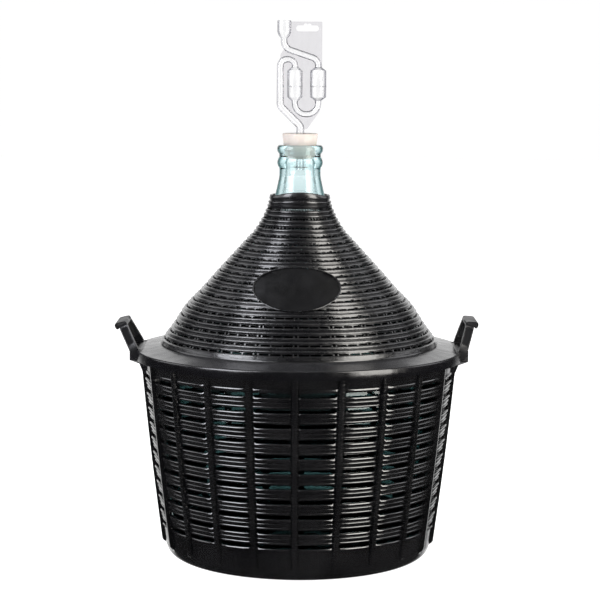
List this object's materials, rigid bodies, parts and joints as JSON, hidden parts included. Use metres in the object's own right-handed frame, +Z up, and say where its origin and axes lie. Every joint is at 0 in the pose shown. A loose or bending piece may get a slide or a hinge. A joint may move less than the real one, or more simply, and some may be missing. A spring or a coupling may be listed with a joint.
{
  "type": "glass demijohn in a plastic basket with an airlock",
  "caption": "Glass carboy for winemaking in a slotted plastic basket with a ridged conical cover, hinged side handles, a bored rubber bung and a twin-bulb airlock.",
  "frame": {"origin": "centre of the basket's flat underside, on its axis", "axes": "+Z up along the carboy's axis, -Y towards the oval plate at the front, +X to the right-hand handle"},
  "size_m": [0.4306, 0.3928, 0.6358],
  "materials": {
    "aqua_glass": "clear pale aqua glass, thick at the lip, slightly wavy",
    "tub_plastic": "glossy black moulded polyethylene",
    "cover_plastic": "glossy black moulded polyethylene, satin on the flange and the oval plate",
    "handle_plastic": "semi-gloss black moulded polyethylene",
    "bung_rubber": "matt cream rubber",
    "clear_plastic": "clear polished plastic"
  },
  "bodies": {
    "basket": {"basket_tub": "tub_plastic"},
    "carboy": {"glass_carboy": "aqua_glass"},
    "cover": {"basket_cover": "cover_plastic"},
    "bung": {"rubber_bung": "bung_rubber"},
    "airlock": {"airlock": "clear_plastic"},
    "left_handle": {"handle_left": "handle_plastic"},
    "right_handle": {"handle_right": "handle_plastic"}
  },
  "joints": [
    {"name": "carboy_lift", "type": "slide", "parent": "basket", "child": "carboy", "axis": [0, 0, 1], "range_m": [0, 0.29]},
    {"name": "cover_lift", "type": "slide", "parent": "carboy", "child": "cover", "axis": [0, 0, 1], "range_m": [0, 0.42]},
    {"name": "bung_pull", "type": "slide", "parent": "carboy", "child": "bung", "axis": [0, 0, 1], "range_m": [0, 0.06]},
    {"name": "airlock_pull", "type": "slide", "parent": "bung", "child": "airlock", "axis": [0, 0, 1], "range_m": [0, 0.06]},
    {"name": "left_handle_tilt", "type": "hinge", "parent": "basket", "child": "left_handle", "pos_m": [-0.192, 0, 0.244], "axis": [0, -1, 0], "range_deg": [-22, 16]},
    {"name": "right_handle_tilt", "type": "hinge", "parent": "basket", "child": "right_handle", "pos_m": [0.192, 0, 0.244], "axis": [0, 1, 0], "range_deg": [-12, 26]}
  ]
}
